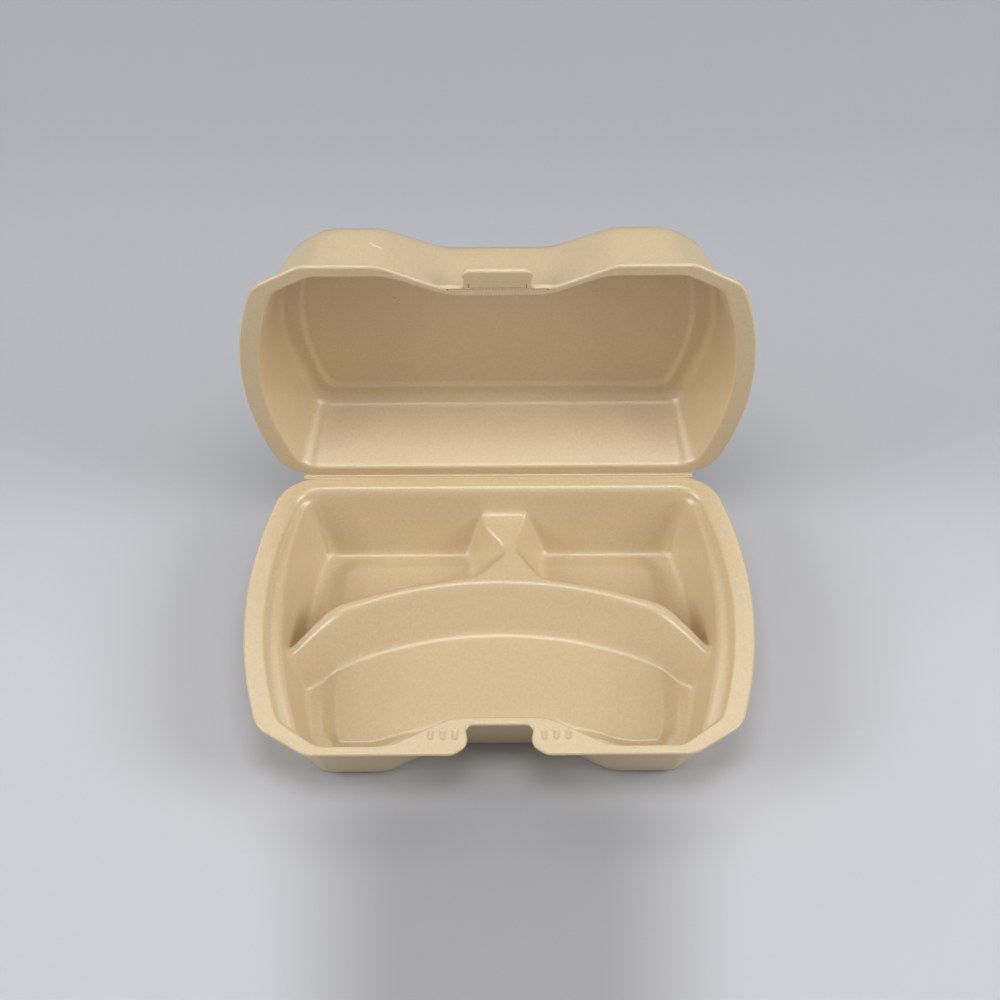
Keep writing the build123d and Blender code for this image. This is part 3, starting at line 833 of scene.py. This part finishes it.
WEB_HIGH = 0.45
WEB_EDGE_R = 0.15
WEB_OVERLAP = 0.4


def web(near, low):
    """Thin strip of the flange from a line near the bead to just under the flange's edge."""
    x = spread(-HINGE_HALF, HINGE_HALF, WEB_EDGE_R, 40)
    return slab(x, np.full(len(x), near), np.full(len(x), GROOVE + WEB_OVERLAP), low, WEB_HIGH, WEB_EDGE_R)


TAB_LENGTH = 12.0
TAB_HALF = 16.0
TAB_NECK_HALF = 15.35
TAB_STEP = 2.8
TAB_STEM_HALF = 13.2
TAB_CORNER_R = 3.9
TAB_NECK_R = 0.3
TAB_GAP = 0.2
TAB_FLARE = 2.2


def lock_tab():
    """Tab as sections along d: each is a rounded rectangle whose half width follows stem, neck, head and corner arc.

    The head's flanks spread evenly from the neck. Both the neck's corners and the head's fall in by a quarter
    circle, and the section gets thinner towards the end by another.
    """
    stem, neck, end = CREASE + 0.25, CREASE + TAB_STEP + TAB_GAP, CREASE + TAB_LENGTH
    flank_end = end - TAB_CORNER_R
    d = np.concatenate(
        [
            np.linspace(stem, neck - 0.01, 6),
            neck + np.array([0.0, 0.12, 0.3, 0.6]),
            np.linspace(neck + 1.2, flank_end, 8),
            end - TAB_CORNER_R * (1 - np.sin(np.linspace(0.1, math.pi / 2 * 0.98, 16))),
        ]
    )
    head = TAB_NECK_HALF + (TAB_HALF + 0.25 - TAB_NECK_HALF) * np.clip((d - neck) / (flank_end - neck), 0, 1)
    corner = np.clip((d - flank_end) / TAB_CORNER_R, 0, 1)
    head = head - TAB_CORNER_R * (1 - np.sqrt(1 - corner**2))
    start = np.clip((d - neck) / TAB_NECK_R, 0, 1)
    head = head - TAB_NECK_R * (1 - np.sqrt(1 - (1 - start) ** 2))
    half = np.where(d < neck, TAB_STEM_HALF, head)[:, None]
    fall = np.clip((end - d) / CUT_EDGE_R, 0, 1)
    tuck = (CUT_EDGE_R * (1 - np.sqrt(1 - (1 - fall) ** 2)))[:, None]
    thick = SHEET / 2 - tuck * 0.9
    bend = np.minimum(CUT_EDGE_R, thick * 0.95)
    turn = np.linspace(0, 2 * math.pi, 29)[:-1] + math.pi / 28
    x = np.sign(np.cos(turn)) * (half - CUT_EDGE_R) + CUT_EDGE_R * np.cos(turn)
    h = SHEET / 2 + np.sign(np.sin(turn)) * (thick - bend) + bend * np.sin(turn)
    return lofted(np.stack([x, np.repeat(d[:, None], len(turn), 1), h], 2))


def tab_root(side):
    """Flared root beside the tab: its front line falls from the neck to the flange along a quarter circle."""
    inner, outer = TAB_STEM_HALF + 0.25, TAB_NECK_HALF
    flare = outer + TAB_FLARE * (1 - np.cos(np.linspace(0, 1.5, 12)))
    x = np.concatenate([np.linspace(inner, outer - 0.1, 8), flare])
    fall = np.clip((x - outer) / TAB_FLARE, 0, 1)
    arc = CREASE + TAB_FLARE * (1 - np.sqrt(1 - (1 - fall) ** 2))
    top = CREASE + TAB_STEP
    front = np.where(x < outer, top, arc + (top - CREASE - TAB_FLARE) * (1 - fall) ** 4)
    points, faces = slab(x, np.full(len(x), CREASE - 1.5), front, 0.02, SHEET - 0.02, 0.3)
    return points * [side, 1, 1], faces


# plan points at the ends of each stretch of the edge and of the rim, and how many stations each stretch has
BASE_EDGE_MARKS = [(105, 5), (120, 85), (109, 145), (88, 159), (29, 159.3), (14.4, 152.5), (15.7, 144.5)]
BASE_RIM_MARKS = [(93, 9.0), (110.3, 85), (101, 141), (82, 154.7), (50.5, 153.5), (35, 146.0), (24, 140.2)]
LID_EDGE_MARKS = [(105, 5), (120, 85), (109, 145), (88, 158.6), (52, 158.3), (26.5, 143.7)]
LID_RIM_MARKS = [(94, 8.0), (110.7, 85), (101, 141), (82, 151.5), (50.5, 150.5), (23, 138.2)]


BASE_COUNTS = [85, 75, 46, 22, 38, 20, 16, 18]
LID_COUNTS = [85, 75, 46, 24, 36, 28, 26]


def make_base(material):
    """Base: moulded sheet, hinge bead and the web between them."""
    edge = stations(FLANGE, BASE_EDGE_MARKS, BASE_COUNTS)
    rim = stations(RIM, BASE_RIM_MARKS, BASE_COUNTS)
    sheet = moulded_sheet(edge, rim, base_depth, np.full(len(edge), CUT_EDGE_R))
    make_piece("foam_base", [sheet, hinge_bead(), web(0.0, 0.0)], base_place, "base", "base", material)


def make_lid(material):
    """Lid: moulded sheet, whose edge is nearly sharp along the crease, web beside the bead and the tab's two roots."""
    edge = stations(LID_FLANGE, LID_EDGE_MARKS, LID_COUNTS)
    rim = stations(LID_RIM, LID_RIM_MARKS, LID_COUNTS)
    creased = ramp((edge[:, 1] - 100.0) / 10.0) * ramp((26.0 - edge[:, 0]) / 4.0)
    sheet = moulded_sheet(edge, rim, lid_depth, CUT_EDGE_R - (CUT_EDGE_R - CREASE_EDGE_R) * creased)
    parts = [sheet, web(BEAD_R + 0.06, 0.02), tab_root(1), tab_root(-1)]
    make_piece("foam_lid", parts, lid_place, "lid", "lid", material)


def make_lock_tab(material):
    make_piece("foam_lock_tab", [lock_tab()], lid_place, "lock_tab", "lock_tab", material)


# photographed view: distances in millimetres from the hinge line, turned down by the tilt
SENSOR = 36.0
VIEW_DISTANCE = 1800.0
VIEW_TILT = math.radians(53.64)
VIEW_RISE = 11.95
VIEW_SHIFT = 0.73
VIEW_ROLL = math.radians(-0.29)
VIEW_FOCUS = 3.7206


def make_camera():
    """Camera at the photograph's angle, looking down at the hinge from the front."""
    toward = Vector((0, -math.cos(VIEW_TILT), math.sin(VIEW_TILT)))
    upward = Vector((0, math.sin(VIEW_TILT), math.cos(VIEW_TILT)))
    data = bpy.data.cameras.new("camera")
    data.sensor_width = SENSOR
    data.lens = SENSOR * VIEW_FOCUS
    data.clip_end = 20.0
    camera = bpy.data.objects.new("camera", data)
    bpy.context.scene.collection.objects.link(camera)
    spot = Vector(HINGE) + (toward * VIEW_DISTANCE - upward * VIEW_RISE) * MM
    spot.x += VIEW_SHIFT * MM
    right = upward.cross(toward)
    axes = Matrix((right, upward, toward)).transposed() @ Matrix.Rotation(VIEW_ROLL, 3, "Z")
    camera.matrix_world = Matrix.Translation(spot) @ axes.to_4x4()
    bpy.context.scene.camera = camera


FLOOR_REACH = 6.0


def make_floor():
    """Wide pale floor."""
    mesh = bpy.data.meshes.new("floor")
    corners = [(x * FLOOR_REACH, y * FLOOR_REACH, 0) for x, y in ((-1, -1), (1, -1), (1, 1), (-1, 1))]
    mesh.from_pydata(corners, [], [(0, 1, 2, 3)])
    floor = bpy.data.objects.new("floor", mesh)
    bpy.context.scene.collection.objects.link(floor)
    mesh.materials.append(floor_skin("floor_grey"))


# soft boxes: name, place and size in metres, power in watts and colour; all point at the box
LAMPS = (
    ("side_left", (-1.5, -0.35, 1.1), (0.9, 0.9), 15.0, (1, 1, 1)),
    ("side_right", (1.5, -0.35, 1.1), (0.9, 0.9), 16.0, (1, 1, 1)),
    ("overhead", (0, -0.3, 1.75), (0.8, 0.5), 8.0, (1, 1, 1)),
    ("behind", (0, 1.15, 1.45), (1.8, 0.7), 7.5, (1, 1, 1)),
    ("front_fill", (0, -1.7, 0.9), (1.2, 0.7), 0.9, (1.0, 0.84, 0.60)),
)
LAMP_AIM = (0, 0, 0.05)
SKY_COLOUR = (0.97, 0.985, 1.0, 1)
SKY_STRENGTH = 0.24


def make_light():
    """Soft boxes left and right, one overhead, a wide one behind, a weak warm one in front and even sky light."""
    for name, spot, size, power, colour in LAMPS:
        data = bpy.data.lights.new(name, "AREA")
        data.shape = "RECTANGLE"
        data.size, data.size_y = size
        data.energy = power
        data.color = colour
        light = bpy.data.objects.new(name, data)
        bpy.context.scene.collection.objects.link(light)
        light.location = spot
        light.rotation_mode = "QUATERNION"
        light.rotation_quaternion = (Vector(spot) - Vector(LAMP_AIM)).to_track_quat("Z", "Y")
    world = bpy.data.worlds.new("studio")
    bpy.context.scene.world = world
    world.use_nodes = True
    sky = world.node_tree.nodes["Background"]
    sky.inputs["Color"].default_value = SKY_COLOUR
    sky.inputs["Strength"].default_value = SKY_STRENGTH


foam = foam_skin("beige_foam")
make_base(foam)
make_lid(foam)
make_lock_tab(foam)
make_camera()
make_floor()
make_light()
bpy.context.scene.view_settings.view_transform = "Standard"

bpy.context.view_layer.update()
